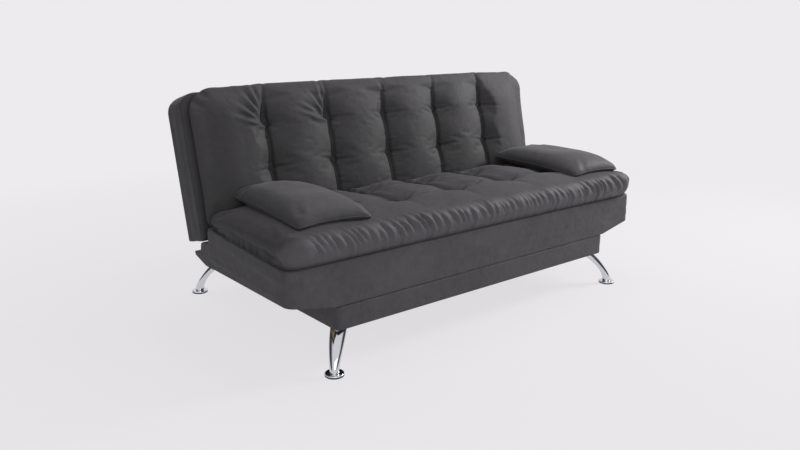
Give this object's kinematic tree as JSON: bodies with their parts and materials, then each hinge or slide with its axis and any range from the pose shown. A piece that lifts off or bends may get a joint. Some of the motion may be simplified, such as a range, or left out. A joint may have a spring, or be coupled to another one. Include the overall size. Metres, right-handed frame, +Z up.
{
  "type": "click clack sofa bed",
  "caption": "Click clack sofa bed with a tufted seat, a folding channelled back, loose arm pillows and curved chrome legs.",
  "frame": {"origin": "on the floor, under the middle of the rectangle that the feet bound", "axes": "+X to the right of the sofa as seen from in front, +Y towards the back, +Z up"},
  "size_m": [1.8146, 1.106, 0.9054],
  "materials": {
    "cloth": "matte",
    "pillow_cloth": "matte",
    "dust_cloth": "matte",
    "webbing": "matte",
    "foam": "matte",
    "timber": "matte",
    "zinc_steel": "satin",
    "spring_steel": "satin",
    "chrome": "polished",
    "glide": "matte"
  },
  "bodies": {
    "base": {"base_front_rail": "timber", "base_rear_rail": "timber", "base_left_rail": "timber", "base_right_rail": "timber", "base_centre_rail": "timber", "base_block_front_left": "timber", "base_block_front_right": "timber", "base_block_rear_left": "timber", "base_block_rear_right": "timber", "base_top_board": "timber", "base_cover": "cloth", "base_dust_cover": "dust_cloth", "leg_front_left": "chrome", "leg_front_right": "chrome", "leg_rear_left": "chrome", "leg_rear_right": "chrome", "foot_glide_front_left": "glide", "foot_glide_front_right": "glide", "foot_glide_rear_left": "glide", "foot_glide_rear_right": "glide", "seat_left_board": "timber", "seat_right_board": "timber", "seat_front_board": "timber", "seat_rear_board": "timber", "seat_cross_board": "timber", "seat_end_panel_left": "timber", "seat_end_panel_right": "timber", "seat_webbing_left_2": "webbing", "seat_webbing_left_1": "webbing", "seat_webbing_right_1": "webbing", "seat_webbing_right_2": "webbing", "seat_foam": "foam", "seat_cover": "cloth", "seat_cushion": "cloth", "hinge_base_bracket_left": "zinc_steel", "hinge_base_bracket_right": "zinc_steel", "hinge_pivot_pin_left": "zinc_steel", "hinge_pivot_pin_right": "zinc_steel", "pawl_pin_left": "zinc_steel", "pawl_pin_right": "zinc_steel", "pawl_spring_left": "spring_steel", "pawl_spring_right": "spring_steel"},
    "backrest": {"hinge_back_arm_left": "zinc_steel", "hinge_back_arm_right": "zinc_steel", "back_top_rail": "timber", "back_bottom_rail": "timber", "back_left_upright": "timber", "back_right_upright": "timber", "back_inner_upright_left": "timber", "back_inner_upright_right": "timber", "back_rear_sheet": "timber", "back_webbing_1": "webbing", "back_webbing_2": "webbing", "back_webbing_3": "webbing", "back_cover": "cloth", "back_cushion": "cloth"},
    "left_pawl": {"pawl_left": "zinc_steel"},
    "right_pawl": {"pawl_right": "zinc_steel"},
    "left_pillow": {"arm_pillow_left": "pillow_cloth"},
    "right_pillow": {"arm_pillow_right": "pillow_cloth"}
  },
  "joints": [
    {"name": "back_fold", "type": "hinge", "parent": "base", "child": "backrest", "pos_m": [0, 0.16, 0.38], "axis": [-1, 0, 0], "range_deg": [0, 77]},
    {"name": "left_pawl_click", "type": "hinge", "parent": "base", "child": "left_pawl", "pos_m": [-0.6776, 0.114, 0.342], "axis": [1, 0, 0], "range_deg": [0, 13]},
    {"name": "right_pawl_click", "type": "hinge", "parent": "base", "child": "right_pawl", "pos_m": [0.6776, 0.114, 0.342], "axis": [1, 0, 0], "range_deg": [0, 13]},
    {"name": "left_pillow_lift", "type": "slide", "parent": "base", "child": "left_pillow", "axis": [0, 0, 1], "range_m": [0, 0.25]},
    {"name": "right_pillow_lift", "type": "slide", "parent": "base", "child": "right_pillow", "axis": [0, 0, 1], "range_m": [0, 0.25]}
  ],
  "couplings": [
    {"joint": "right_pawl_click", "follows": "left_pawl_click", "ratio": 1}
  ]
}
